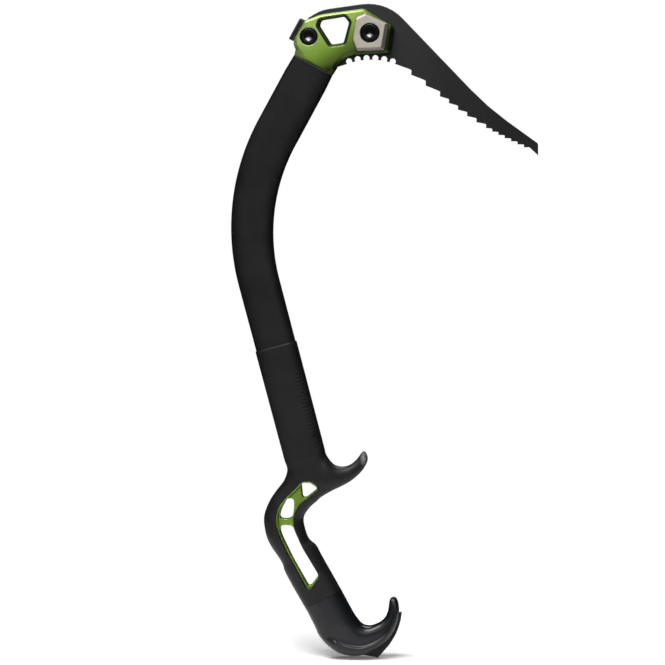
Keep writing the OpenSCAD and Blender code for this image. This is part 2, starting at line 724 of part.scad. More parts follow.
module handle_frame() {
    tang_fit = shaft_wall + bond_gap;
    nose = 0.8;
    color(alloy_green) difference() {
        union() {
            plate(band(0), -frame_thick / 2, frame_thick / 2);
            plate(spur_outline, -frame_thick / 2, frame_thick / 2);
            loft([shaft_rib(-shoulder_len, -tang_fit - shoulder_in), shaft_rib(0, -tang_fit),
                shaft_rib(frame_tang - nose, -tang_fit), shaft_rib(frame_tang, -tang_fit - nose)]);
            along_handle() translate([-tail_half, -tail_thick / 2, -tail_len])
                cube([tail_width, tail_thick, tail_len + 2]);
        }
        for (w = frame_windows) plate(w, -frame_thick, frame_thick);
        for (s = pin_places) cross_rod(shaft_middle(s), pin_d + 2 * bond_gap, -shaft_thick, shaft_thick);
        along_handle() for (drop = [0, pommel_travel])
            cross_rod([0, drop - pommel_bolt_drop - pommel_travel], tail_slot, -frame_thick, frame_thick);
        along_handle() translate([-tail_slot / 2, -frame_thick, -pommel_bolt_drop - pommel_travel])
            cube([tail_slot, 2 * frame_thick, pommel_travel]);
    }
}

module frame_pins() {
    color(bare_metal) for (s = pin_places)
        cross_rod(shaft_middle(s), pin_d, bond_gap - shaft_thick / 2, shaft_thick / 2 - bond_gap);
}

module lower_grip() {
    frame_room = frame_thick / 2 + bond_gap;
    color(rubber_black) difference() {
        union() {
            loft([for (s = grip_curve) edge_rib(s)]);
            loft([for (s = smooth(trigger_stations, 2)) edge_rib(s)]);
        }
        plate(opening_outline, -grip_thick, grip_thick);
        plate(band(bond_gap), -frame_room, frame_room);
        plate(inset(spur_outline, -bond_gap), -frame_room, frame_room);
        loft([shaft_rib(-shoulder_len - bond_gap, -shaft_wall - shoulder_in), shaft_rib(0, -shaft_wall),
            shaft_rib(shoulder_len, -shaft_wall)]);
        loft([shaft_rib(0, sleeve_wall + 4), shaft_rib(sleeve_len, sleeve_wall + 4)]);
    }
}

// Pommel from its seam to the hook's tip, as stations of inner and outer edge points
// measured from the seam, with the hook drawn at its own lean
hook_lean = 28.9;
function hook_station(x1, z1, x2, z2, share, lip, lip_start) =
    let(a = turned([x1, z1], hook_lean - handle_lean), b = turned([x2, z2], hook_lean - handle_lean))
    [pommel_seam.x + a.x, pommel_seam.y + a.y, pommel_seam.x + b.x, pommel_seam.y + b.y,
        pommel_thick / 2 * share, panel_power, lip * lip_proud, lip_start];
panel_power = 3.2;
pommel_top_front = grip_foot_front - pommel_axis * seam_gap;
pommel_top_back = grip_foot_back - pommel_axis * seam_gap;
pommel_stations = [
    [pommel_top_front.x, pommel_top_front.y, pommel_top_back.x, pommel_top_back.y, grip_half,
        panel_power, 0, 1],
    hook_station(22.8, -9.6, -6.4, -21.1, 0.985, 0, 1),
    hook_station(26.7, -15.3, -3.4, -27.7, 0.97, 0.6, 0.92),
    hook_station(29.7, -18.7, 3.6, -35.8, 0.93, 1, 0.47),
    hook_station(32.8, -20, 13.6, -41.9, 0.9, 1.1, 0.35),
    hook_station(35.9, -20.4, 26.7, -43.7, 0.87, 1.1, 0.3),
    hook_station(40.5, -19.1, 39, -39.6, 0.81, 1, 0.33),
    hook_station(45.1, -16.5, 49.8, -31.5, 0.71, 0.85, 0.28),
    hook_station(48.6, -12.3, 55.9, -21.9, 0.61, 0.65, 0.2),
    hook_station(50.3, -7.3, 58.5, -12.6, 0.54, 0.45, 0.2),
    hook_station(50.8, -3, 58.2, -5, 0.48, 0.2, 0.25),
    hook_station(51.5, 0.1, 57.1, -0.3, 0.38, 0, 0.3),
    hook_station(53.2, 2, 55.6, 1.9, 0.16, 0, 0.3)];

// Spike outline in the hook's own lean, measured from the pommel's seam
spike_middle = [13.7, -6.4];
function spike_arc(radius, angle) = spike_middle + radius * [cos(angle), sin(angle)];
spike_tip = [42.4, -45];
spike_outline = concat(
    [for (a = [-62 : 6 : -8]) spike_arc(spike_radius - 7, -70 - a)],
    [spike_tip + [-13.5, 2.3]],
    [spike_tip],
    [for (a = [-42 : 4.8 : -3.6]) spike_arc(spike_radius, a)]);

module at_hook() {
    translate([pommel_seam.x, 0, pommel_seam.y]) rotate([0, hook_lean - handle_lean, 0]) children();
}

pommel_half = pommel_thick / 2;
pommel_seat = pommel_half - head_sink - bolt_head - bolt_gap;
pommel_nut_flats = 8;
pommel_nut_high = 3.6;
pommel_nut_y = -tail_thick / 2 - slide_gap;
pommel_bolt_place = [0, -pommel_bolt_drop];

module pommel() {
    pocket = tail_half + slide_gap;
    room = tail_thick / 2 + slide_gap;
    color(pommel_grey) difference() {
        loft([for (s = smooth(pommel_stations, 3)) edge_rib(s, lip_sides)]);
        along_handle() {
            translate([-pocket, -room, -tail_len - slide_gap]) cube([2 * pocket, 2 * room, tail_len + 5]);
            cross_rod(pommel_bolt_place, pommel_bolt_d + 2 * bolt_gap, pommel_nut_y - pommel_nut_high - 1.2,
                pommel_thick);
            cross_rod(pommel_bolt_place, pommel_head_d + 2 * head_room, pommel_seat, pommel_thick);
            nut_pocket();
        }
        at_hook() plate(inset(spike_outline, -bond_gap), -spike_thick / 2 - bond_gap,
            spike_thick / 2 + bond_gap);
    }
}

module nut_pocket() {
    half = pommel_nut_flats / 2 + bond_gap;
    translate([-half, pommel_nut_y - pommel_nut_high - bond_gap, -pommel_bolt_drop - half])
        cube([2 * half, pommel_nut_high + bond_gap + 1, 2 * half]);
}

module spike() {
    color(blade_grey) at_hook() plate(spike_outline, -spike_thick / 2, spike_thick / 2);
}

module pommel_bolt() {
    color(bolt_black) along_handle()
        socket_bolt(pommel_bolt_place, pommel_bolt_d, pommel_head_d, pommel_socket, pommel_seat,
            pommel_nut_y - pommel_nut_high, -1);
}

module pommel_nut() {
    half = pommel_nut_flats / 2;
    color(bolt_black) along_handle() difference() {
        translate([-half, pommel_nut_y - pommel_nut_high, -pommel_bolt_drop - half])
            cube([2 * half, pommel_nut_high, 2 * half]);
        cross_rod(pommel_bolt_place, pommel_bolt_d + 2 * bolt_gap, -pommel_thick, pommel_thick);
    }
}

shaft();
head();
pick();
pick_collar();
pick_bolt();
pick_nut();
hammer();
rear_bolt();
rear_nut();
upper_grip();
handle_frame();
frame_pins();
lower_grip();
pommel();
spike();
pommel_bolt();
pommel_nut();
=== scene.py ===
"""Looks of the ice climbing tool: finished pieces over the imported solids, with a pale studio stage."""

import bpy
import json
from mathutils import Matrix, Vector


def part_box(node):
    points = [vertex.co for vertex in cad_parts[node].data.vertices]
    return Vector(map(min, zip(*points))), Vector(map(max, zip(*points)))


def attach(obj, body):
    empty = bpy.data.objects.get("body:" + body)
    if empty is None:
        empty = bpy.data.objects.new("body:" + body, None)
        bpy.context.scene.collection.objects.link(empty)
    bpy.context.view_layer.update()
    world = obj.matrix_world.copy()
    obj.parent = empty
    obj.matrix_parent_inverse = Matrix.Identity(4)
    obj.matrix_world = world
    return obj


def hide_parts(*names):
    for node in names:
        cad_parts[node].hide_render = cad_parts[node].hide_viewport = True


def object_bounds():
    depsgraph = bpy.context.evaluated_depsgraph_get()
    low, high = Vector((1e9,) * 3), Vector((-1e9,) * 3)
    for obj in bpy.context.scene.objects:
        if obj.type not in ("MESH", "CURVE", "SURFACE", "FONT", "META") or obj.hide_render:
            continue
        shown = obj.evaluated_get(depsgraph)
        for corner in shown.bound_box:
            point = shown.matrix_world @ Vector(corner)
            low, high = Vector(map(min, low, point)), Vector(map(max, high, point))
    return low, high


bl_info = {
    "name": "Ice climbing tool",
    "version": (1, 0, 0),
    "blender": (4, 5, 0),
    "location": "View3D > Sidebar > Ice Tool",
    "description": "Builds the finished pieces of an ice climbing tool and its studio stage",
    "category": "Add Mesh",
}

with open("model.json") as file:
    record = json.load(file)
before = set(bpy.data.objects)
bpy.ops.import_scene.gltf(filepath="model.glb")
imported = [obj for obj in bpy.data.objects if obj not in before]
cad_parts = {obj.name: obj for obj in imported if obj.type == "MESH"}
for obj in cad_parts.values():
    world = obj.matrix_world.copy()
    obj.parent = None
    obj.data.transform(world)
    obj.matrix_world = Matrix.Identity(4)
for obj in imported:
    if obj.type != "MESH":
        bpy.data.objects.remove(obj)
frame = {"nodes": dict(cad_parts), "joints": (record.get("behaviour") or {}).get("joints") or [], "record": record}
CAD_BOX = [list(corner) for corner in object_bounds()]

import json
import math

import bmesh
import bpy
from bpy.props import FloatProperty, FloatVectorProperty, IntProperty, PointerProperty
from mathutils import Matrix, Vector
from mathutils.bvhtree import BVHTree

# Lengths are in metres.
MM = 0.001
WELD = 2e-6
FINE_WELD = 1e-7
FINE_FLAT_DEGREES = 0.05
FLECK_GAIN = 1.8
RECORD = frame["record"]
BODY_OF = {node: body for body, nodes in RECORD["behaviour"]["bodies"].items() for node in nodes}
SLOT_OF = {sub["node"]: sub["material_slot"] for sub in RECORD["subparts"]}
MOUNT_PLACE = {mount["name"]: Vector(mount["pos_m"]) for mount in RECORD["mounts"]}
JOINT_PLACE = {joint["child"]: Vector(joint["pos_m"]) for joint in frame["joints"] if "pos_m" in joint}


# Kinds of settings


def length(name, description, millimetres):
    """Property for a length, given in millimetres."""
    return FloatProperty(name=name, description=description, default=millimetres * MM, unit="LENGTH",
                         subtype="DISTANCE", precision=5)


def angle(name, description, degrees):
    """Property for an angle, given in degrees."""
    return FloatProperty(name=name, description=description, default=math.radians(degrees),
                         unit="ROTATION", subtype="ANGLE")


def fraction(name, description, part):
    """Property for a share from 0 to 1."""
    return FloatProperty(name=name, description=description, default=part, min=0, max=1, subtype="FACTOR")


def watts(name, description, power):
    """Property for the power of a light."""
    return FloatProperty(name=name, description=description, default=power, min=0, unit="POWER")


def steps(name, description, number):
    """Property for a whole number."""
    return IntProperty(name=name, description=description, default=number, min=1)


def position(name, description, metres):
    """Property for a place, given in metres."""
    return FloatVectorProperty(name=name, description=description, default=metres, size=3, unit="LENGTH",
                               subtype="TRANSLATION")


def extent(name, description, metres):
    """Property for a width and a height, given in metres."""
    return FloatVectorProperty(name=name, description=description, default=metres, size=2, unit="LENGTH")


def colour(name, description, rgb):
    """Property for a colour in linear light."""
    return FloatVectorProperty(name=name, description=description, default=rgb, size=3, min=0, max=1,
                               subtype="COLOR")


class IceToolSizes(bpy.types.PropertyGroup):
    """Sizes of the finished pieces"""

    lower_lean: angle("Lower lean", "Backward lean of the tube's lower straight", 15)
    upper_lean: angle("Upper lean", "Forward lean of the tube's upper straight", 28.5)
    lower_len: length("Lower straight", "Length of the tube's lower straight", 140)
    upper_len: length("Upper straight", "Length of the tube's upper straight", 57)
    bend_radius: length("Bend radius", "Radius of the bend on the tube's back edge", 173.5)
    bend_steps: steps("Bend steps", "Rings of the tube's bend", 40)
    depth_low: length("Depth at handle", "Front-to-back depth of the tube at the handle", 30.4)
    depth_mid: length("Depth at bend", "Front-to-back depth where the bend starts", 31.3)
    depth_top: length("Depth above bend", "Front-to-back depth above the bend", 34.4)
    neck_depth: length("Mouth depth", "Front-to-back depth of the tube's mouth", 33.2)
    mouth_len: length("Mouth length", "Length over which the mouth draws in", 14)
    tube_thick: length("Tube thickness", "Side-to-side thickness of the tube", 20)
    tube_wall: length("Tube wall", "Wall of the tube", 1.8)
    rim_edge: length("Rim edge", "Rounding of the tube's rims", 0.3)
    rim_band: length("Rim band", "Height of the bare band on the mouth's rim", 0.35)
    seam_x: length("Seam forward", "Tube's lower end in front of the hand's centre", 4)
    seam_z: length("Seam height", "Tube's lower end above the hand's centre", 72.4)
    tube_power: FloatProperty(name="Tube squareness", description="How square the tube's section is",
                              default=3.6, min=2, max=8)
    sleeve_len: length("Sleeve length", "Length of the rubber sleeve", 88)
    sleeve_wall: length("Sleeve wall", "Rubber sleeve's outside above the tube", 0.75)
    sleeve_fit: length("Sleeve fit", "Gap between the sleeve and the tube", 0.1)
    sleeve_gap: length("Sleeve gap", "Gap between the sleeve and the lower grip", 0.08)
    sleeve_rings: steps("Sleeve rings", "Rings of the sleeve, two for each dash", 60)
    lip_len: length("Lip length", "Length of the sleeve's rounded upper lip", 1.2)
    lip_turn: length("Lip turn", "Length and drop of the lip's last turn", 0.4)
    lip_ease: length("Lip ease", "Drop of the lip where its last turn starts", 0.1)
    dash_first: steps("First dash", "Ring of the sleeve where the dashes start", 3)
    dash_last: steps("Last dash", "Ring of the sleeve where the dashes end", 44)
    dash_near: fraction("Dash start", "Share of the sleeve's half depth where a dash starts", 0.62)
    dash_far: fraction("Dash end", "Share of the sleeve's half depth where a dash ends", 0.97)
    dash_depth: length("Dash depth", "Depth of the dashes pressed into the sleeve", 0.22)
    dash_edge: length("Dash edge", "Slope round each dash on the sleeve", 0.18)
    alloy_voxel: length("Alloy detail", "Finest detail of the forged alloy", 0.5)
    alloy_rounds: steps("Alloy softness", "Rounds of softening on the forged alloy", 2)
    tang_kept: length("Tang kept", "Length of a tang inside the tube that a finished piece keeps", 8)
    # Window reach and top shade set where the head gets painted shade: in its window and on its upward faces.
    window_reach: length("Window reach", "Distance from the window's middle within which it is dulled", 21)
    top_shade_share: fraction("Top dulling", "How far the head's upper faces are dulled", 0.75)
    # The head's painted light and shade: light at one end of this way, darkening towards the neck's lower right.
    head_shade_way: FloatVectorProperty(name="Head fade way", description="Way in which the head darkens",
                                       default=(0.55, 0, -0.85), size=3, subtype="DIRECTION")
    head_shade_start: length("Head fade start", "Distance along the way where the head is light", -331)
    head_shade_end: length("Head fade end", "Distance along the way where the head is darkest", -301)
    pick_fade_start: length("Pick fade start", "Distance forward where the pick starts to darken", 62)
    pick_fade_end: length("Pick fade end", "Distance forward where the pick is darkest", 165)
    blade_edge: length("Blade edge", "Rounding of the blades' edges", 0.3)
    collar_edge: length("Collar edge", "Rounding of the collar's edges", 0.3)
    nut_edge: length("Nut edge", "Rounding of the nuts' and pins' edges", 0.3)
    mould_rounds: steps("Moulding softness", "Rounds of softening on the mouldings", 6)
    grip_voxel: length("Grip detail", "Finest detail of the moulded grip", 0.6)
    pommel_voxel: length("Pommel detail", "Finest detail of the moulded pommel", 0.5)
    handle_lean: angle("Handle lean", "Backward lean of the handle below the hand", 28.9)
    foot_x: length("Foot forward", "Grip's foot in front of the hand's centre", 18)
    foot_z: length("Foot height", "Grip's foot above the hand's centre", -37.4)
    seam_gap: length("Seam gap", "Gap between the grip and the pommel when it is pushed home", 0.1)
    score_place: length("Score place", "Distance of the frame's groove from the grip's opening", 1.3)
    score_half: length("Score half width", "Half width of the frame's groove", 0.8)
    score_depth: length("Score depth", "Depth of the frame's groove", 0.35)
    score_reach: length("Score reach", "Least distance of the groove from the middle plane", 4)
    bolt_head: length("Bolt head", "Height of the bolts' heads", 3.8)
    bolt_edge: length("Bolt edge", "Rounding of the bolts' heads", 0.9)
    bolt_under: length("Bolt underside", "Chamfer under the bolts' heads", 0.2)
    bolt_tip: length("Bolt tip", "Chamfer at the bolts' tips", 0.5)
    socket_head: length("Head socket", "Width across flats of the head bolts' sockets", 6)
    socket_pommel: length("Pommel socket", "Width across flats of the pommel bolt's socket", 4)
    socket_depth: length("Socket depth", "Depth of the bolts' sockets", 2.6)
    socket_land: length("Socket land", "Ring outside the corners of the bolts' sockets", 0.5)
    socket_lead: length("Socket lead", "Depth of the slope into the bolts' sockets", 0.35)
    socket_point: length("Socket point", "Depth of the drilled point in the bolts' sockets", 0.8)
    pick_bolt_d: length("Pick bolt", "Diameter of the pick bolt's shank", 8)
    rear_bolt_d: length("Rear bolt", "Diameter of the rear bolt's shank", 6)
    pommel_bolt_d: length("Pommel bolt", "Diameter of the pommel bolt's shank", 5)
    round_sides: steps("Roundness", "Sides of a turned form", 72)


class IceToolColours(bpy.types.PropertyGroup):
    """Colours of the finishes"""

    tube_black: colour("Tube", "Satin black of the tube", (0.006, 0.006, 0.0068))
    tube_edge: colour("Tube edge", "Bare rim of the tube's mouth", (0.12, 0.12, 0.125))
    alloy_green: colour("Alloy", "Green of the anodised frame", (0.235, 0.395, 0.047))
    # Painted light and shade on the head: a light, desaturated green that stands in for highlight, darkened
    # towards the neck.
    alloy_lit: colour("Alloy, light", "Green at the head's light end", (0.40, 0.57, 0.145))
    alloy_half_shade: colour("Alloy, middle", "Share of the light green half way", (0.50, 0.60, 0.25))
    alloy_deep_shade: colour("Alloy, deep", "Share of the light green at the deep end", (0.05, 0.06, 0.02))
    # Edge wear, and a painted highlight along the forgings' edges.
    alloy_edge_wear_and_highlight: colour("Alloy edges", "Bright green along the forgings' edges", (0.40, 0.48, 0.27))
    blade_grey: colour("Blades", "Charcoal coat of the blades", (0.009, 0.009, 0.010))
    # Steel worn bare along the blades' edges, made brighter as a painted highlight.
    blade_edge: colour("Blade edges", "Steel along the blades' edges", (0.12, 0.12, 0.125))
    pick_root: colour("Pick", "Charcoal coat of the pick beside the head", (0.028, 0.028, 0.0295))
    pick_middle: colour("Pick, middle", "Share of the coat's grey half way", (0.54, 0.54, 0.54))
    pick_tip: colour("Pick, tip", "Share of the coat's grey at the tip", (0.36, 0.36, 0.36))
    collar_metal: colour("Collar", "Warm grey of the bare metal", (0.43, 0.39, 0.335))
    bolt_black: colour("Bolts", "Black oxide of the bolts", (0.03, 0.03, 0.032))
    # Worn steel, kept to the socket's lowest face so that it shows a glint there.
    socket_glint_steel: colour("Sockets", "Worn steel at the bottom of the sockets", (0.45, 0.45, 0.45))
    grip_rubber: colour("Rubber", "Black of the moulded rubber", (0.006, 0.006, 0.0065))
    # Painted highlight on the trigger's tip.
    rubber_painted_highlight: colour("Rubber, worn", "Rubber where it is rubbed bright", (0.4, 0.4, 0.41))
    pommel_plastic: colour("Pommel", "Blue-black of the moulded pommel", (0.0045, 0.005, 0.0064))
    floor_white: colour("Floor", "White of the floor", (0.96, 0.96, 0.96))


class IceToolStage(bpy.types.PropertyGroup):
    """Camera, lights, room and floor"""

    yaw: angle("Camera yaw", "Camera's turn towards the pick", 4)
    pitch: angle("Camera pitch", "How far the camera looks down", 3)
    distance: length("Camera distance", "Distance of the camera from the tool", 4000)
    target_x: length("Aim forward", "Point in front of the hand's centre that is aimed at", 25.1)
    target_z: length("Aim height", "Point above the hand's centre that is aimed at", 168.03)
    field: length("Field", "Width that the picture takes in at the tool", 510.85)
    key_place: position("Key place", "Place of the key light", (0.1, -1.9, 1.2))
    key_spread: extent("Key spread", "Width and height of the key light", (0.8, 0.9))
    key_power: watts("Key power", "Power of the key light", 8.5)
    top_place: position("Top place", "Place of the top light", (-0.5, -0.95, 2.3))
    top_aim: position("Top aim", "Point on the floor that the top light aims at", (0.05, 0, -0.08))
    top_spread: extent("Top spread", "Width and height of the top light", (2.0, 1.1))
    top_power: watts("Top power", "Power of the top light", 84)
    back_place: position("Back place", "Place of the light on the far side", (0.1, 1.6, 1.9))
    back_spread: extent("Back spread", "Width and height of the light on the far side", (1.2, 0.9))
    back_power: watts("Back power", "Power of the light on the far side", 16)
    room_front: fraction("Room in front", "Brightness of the room behind the camera", 0.13)
    room_side: fraction("Room beside", "Brightness of the room beside the tool", 0.012)
    room_from: fraction("Room fade start", "Where the room starts to brighten, 0 beside the tool", 0.6)
    room_to: fraction("Room fade end", "Where the room is brightest, 1 behind the camera", 0.98)
    floor_x: length("Floor forward", "Middle of the floor in front of the hand's centre", 50)
    floor_drop: length("Floor drop", "Floor below the lowest point of the tool", 2.6)
    floor_half: length("Floor half width", "Half width of the floor", 330)
    floor_behind: length("Floor behind", "How far the floor goes on behind the tool", 150)
    floor_rows: steps("Floor rows", "Rows of faces along the floor", 48)
    sweep_radius: length("Sweep radius", "Radius of the floor's rise behind the tool", 900)
    sweep_lead: length("Sweep lead", "How far in front of the tool the floor starts to rise", 60)
    floor_glow: fraction("Floor glow", "Light that the floor gives off itself", 0.11)


def sizes():
    """Sizes of the scene that is being built."""
    return bpy.context.scene.ice_tool_sizes


def colours():
    """Colours of the scene that is being built."""
    return bpy.context.scene.ice_tool_colours


# Materials


def set_inputs(tree, node, inputs):
    """Gives a node's inputs their values, or links them to sockets."""
    for name, value in inputs.items():
        if isinstance(value, bpy.types.NodeSocket):
            tree.links.new(value, node.inputs[name])
        else:
            node.inputs[name].default_value = value


def add_node(tree, kind, inputs, **settings):
    """Adds a shader node with its settings and inputs."""
    node = tree.nodes.new("ShaderNode" + kind)
    for name, value in settings.items():
        setattr(node, name, value)
    set_inputs(tree, node, inputs)
    return node


def new_group(name, numbers):
    """Node group from a place and some numbers to a mask, with its inner ends."""
    tree = bpy.data.node_groups.new(name, "ShaderNodeTree")
    tree.interface.new_socket("Vector", in_out="INPUT", socket_type="NodeSocketVector")
    for number, default in numbers.items():
        socket = tree.interface.new_socket(number, in_out="INPUT", socket_type="NodeSocketFloat")
        socket.default_value = default
    tree.interface.new_socket("Mask", in_out="OUTPUT", socket_type="NodeSocketFloat")
    return tree, tree.nodes.new("NodeGroupInput").outputs, tree.nodes.new("NodeGroupOutput")


def fine_grain(name):
    """Group: even speckle of a blasted or moulded surface, from 0 to 1."""
    tree, given, end = new_group(name, {"Scale": 1500.0, "Spread": 0.25})
    noise = add_node(tree, "TexNoise", {"Vector": given["Vector"], "Scale": given["Scale"],
                                        "Detail": 2, "Roughness": 0.6})
    low = add_node(tree, "Math", {0: 0.5, 1: given["Spread"]}, operation="SUBTRACT")
    high = add_node(tree, "Math", {0: 0.5, 1: given["Spread"]}, operation="ADD")
    mask = add_node(tree, "MapRange", {"Value": noise.outputs["Fac"], "From Min": low.outputs[0],
                                       "From Max": high.outputs[0]})
    set_inputs(tree, end, {"Mask": mask.outputs["Result"]})
    return tree


def soft_mottle(name):
    """Group: slow uneven patches of handling and coating, from 0 to 1."""
    tree, given, end = new_group(name, {"Scale": 60.0})
    noise = add_node(tree, "TexNoise", {"Vector": given["Vector"], "Scale": given["Scale"],
                                        "Detail": 5, "Roughness": 0.55, "Distortion": 0.4})
    mask = add_node(tree, "MapRange", {"Value": noise.outputs["Fac"], "From Min": 0.3, "From Max": 0.7},
                    interpolation_type="SMOOTHSTEP")
    set_inputs(tree, end, {"Mask": mask.outputs["Result"]})
    return tree


def edge_wear(name):
    """Group: broken wear where a piece's edge attribute marks it, from 0 to 1; on some pieces the marked colour is
    a painted highlight.
    """
    tree, given, end = new_group(name, {"Scale": 250.0, "Amount": 0.6})
    edge = add_node(tree, "Attribute", {}, attribute_name="edge")
    noise = add_node(tree, "TexNoise", {"Vector": given["Vector"], "Scale": given["Scale"], "Detail": 4})
    gaps = add_node(tree, "MapRange", {"Value": noise.outputs["Fac"], "From Min": 0.25, "From Max": 0.6})
    broken = add_node(tree, "Math", {0: edge.outputs["Fac"], 1: gaps.outputs["Result"]},
                      operation="MULTIPLY")
    mask = add_node(tree, "Math", {0: broken.outputs[0], 1: given["Amount"]}, operation="MULTIPLY")
    set_inputs(tree, end, {"Mask": mask.outputs[0]})
    return tree


GROUPS = {"Fine grain": fine_grain, "Soft mottle": soft_mottle, "Edge wear": edge_wear}


def mask_from(tree, name, inputs):
    """Mask of a shared node group, which is built at its first use."""
    group = bpy.data.node_groups.get(name) or GROUPS[name](name)
    return add_node(tree, "Group", inputs, node_tree=group).outputs["Mask"]


def mix_colour(tree, mask, first, second, blend="MIX"):
    """Mix node between two colours, each a socket or a plain colour."""
    mix = add_node(tree, "Mix", {"Factor": mask}, data_type="RGBA", blend_type=blend)
    for name, value in (("A", first), ("B", second)):
        socket = next(s for s in mix.inputs if s.name == name and s.type == "RGBA")
        if isinstance(value, bpy.types.NodeSocket):
            tree.links.new(value, socket)
        else:
            socket.default_value = (*value, 1)
    return next(s for s in mix.outputs if s.type == "RGBA")


def scaled(rgb, part):
    """Colour made lighter or darker."""
    return tuple(min(1.0, c * part) for c in rgb)


def faded(tree, place, shown, way, starts, ends, half_way, deep):
    """Colour that darkens along a way, to shares of itself half way and at the end."""
    along = add_node(tree, "VectorMath", {0: place, 1: way}, operation="DOT_PRODUCT")
    run = add_node(tree, "MapRange", {"Value": along.outputs["Value"], "From Min": starts,
                                      "From Max": ends})
    rest = tuple(d / h for d, h in zip(deep, half_way))
    for low, high, tint in ((0, 0.5, half_way), (0.5, 1, rest)):
        part = add_node(tree, "MapRange", {"Value": run.outputs["Result"], "From Min": low,
                                           "From Max": high})
        shown = mix_colour(tree, part.outputs["Result"], shown, tint, "MULTIPLY")
    return shown


def finish(name, base, edge, metallic, rough, grain, mottle, speckle=0.0, wear=0.0, specular=0.5,
           fade=None, painted_shade=0.0):
    """Material with speckle, mottle, wear along edges, uneven roughness and a fine bump.

    Rough is the least and the most roughness, grain a scale and a depth in millimetres, and mottle a
    scale and how far it shades the colour. A fade is what faded() takes after the colour. The shade
    share is how much of the colour is left where the piece's attribute of painted shade marks it.
    """
    if name in bpy.data.materials:
        return bpy.data.materials[name]
    material = bpy.data.materials.new(name)
    material.use_nodes = True
    tree = material.node_tree
    place = add_node(tree, "TexCoord", {}).outputs["Object"]
    patches = mask_from(tree, "Soft mottle", {"Vector": place, "Scale": mottle[0]})
    flecks = mask_from(tree, "Fine grain", {"Vector": place, "Scale": grain[0]})

    shown = mix_colour(tree, patches, scaled(base, 1 - mottle[1]), scaled(base, 1 + mottle[1]))
    if speckle:
        some = add_node(tree, "Math", {0: flecks, 1: speckle}, operation="MULTIPLY")
        shown = mix_colour(tree, some.outputs[0], shown, scaled(base, FLECK_GAIN))
    # Painted shade: less of the colour where the attribute marks it.
    if painted_shade:
        dirty = add_node(tree, "Attribute", {}, attribute_name="painted_shade")
        shown = mix_colour(tree, dirty.outputs["Fac"], shown, scaled(base, painted_shade))
    # Edge wear in the edge colour, which on some pieces is a painted highlight.
    if wear:
        worn = mask_from(tree, "Edge wear", {"Vector": place, "Amount": wear})
        shown = mix_colour(tree, worn, shown, edge)
    if fade:
        shown = faded(tree, place, shown, *fade)

    uneven = add_node(tree, "MapRange", {"Value": patches, "To Min": rough[0], "To Max": rough[1]})
    bump = add_node(tree, "Bump", {"Height": flecks, "Strength": 0.5, "Distance": grain[1] * MM})
    set_inputs(tree, tree.nodes["Principled BSDF"], {
        "Base Color": shown, "Metallic": metallic, "Roughness": uneven.outputs["Result"],
        "Specular IOR Level": specular, "Normal": bump.outputs["Normal"]})
    return material


def finish_for(node):
    """Material of a node, from its slot in the record."""
    c = colours()
    s = sizes()
    slot = SLOT_OF[node]
    if slot == "tube_black":
        return finish("satin black tube", c.tube_black, c.tube_edge, metallic=0.0, rough=(0.40, 0.48),
                      grain=(2600, 0.02), mottle=(35, 0.12), wear=0.9, specular=0.33)
    if node == "head":
        # Painted light and shade on the head: light at the top, darkening along a way towards the neck.
        fade = (s.head_shade_way, s.head_shade_start, s.head_shade_end, c.alloy_half_shade, c.alloy_deep_shade)
        return finish("green anodised head", c.alloy_lit, c.alloy_edge_wear_and_highlight, metallic=0.7, rough=(0.36, 0.46),
                      grain=(2200, 0.02), mottle=(45, 0.07), speckle=0.10, wear=0.4, fade=fade, painted_shade=0.12)
    if slot == "alloy_green":
        return finish("green anodised frame", c.alloy_green, c.alloy_edge_wear_and_highlight, metallic=0.7, rough=(0.36, 0.46),
                      grain=(2200, 0.02), mottle=(45, 0.07), speckle=0.10, wear=0.4, painted_shade=0.15)
    if node == "pick":
        fade = ((1, 0, 0), s.pick_fade_start, s.pick_fade_end, c.pick_middle, c.pick_tip)
        return finish("charcoal coated pick", c.pick_root, c.blade_edge, metallic=0.2, rough=(0.46, 0.50),
                      grain=(1700, 0.008), mottle=(30, 0.05), speckle=0.06, wear=0.8, specular=0.28,
                      fade=fade)
    if slot == "blade_steel":
        return finish("charcoal coated steel", c.blade_grey, c.blade_edge, metallic=0.2, rough=(0.46, 0.50),
                      grain=(1700, 0.008), mottle=(30, 0.05), speckle=0.06, wear=0.8, specular=0.28)
    if slot == "bare_metal":
        return finish("blasted bare metal", c.collar_metal, c.collar_metal, metallic=0.35,
                      rough=(0.54, 0.64), grain=(1300, 0.05), mottle=(80, 0.06), speckle=0.30, painted_shade=0.2)
    if slot == "bolt_black":
        return finish("black oxide steel", c.bolt_black, c.socket_glint_steel, metallic=1.0, rough=(0.22, 0.30),
                      grain=(2400, 0.02), mottle=(120, 0.2), wear=1.0)
    if slot == "grip_rubber":
        return finish("moulded black rubber", c.grip_rubber, c.rubber_painted_highlight, metallic=0.0, rough=(0.44, 0.54),
                      grain=(1900, 0.05), mottle=(50, 0.15), speckle=0.2, wear=0.8, specular=0.29)
    if slot == "pommel_plastic":
        return finish("moulded black nylon", c.pommel_plastic, c.pommel_plastic, metallic=0.0,
                      rough=(0.25, 0.33), grain=(2300, 0.02), mottle=(45, 0.12), specular=0.38)
    raise ValueError("no finish for the slot " + slot)


# Meshes


def to_mesh(bm, name):
    """Mesh from a bmesh, which is freed."""
    mesh = bpy.data.meshes.new(name)
    bm.to_mesh(mesh)
    bm.free()
    return mesh


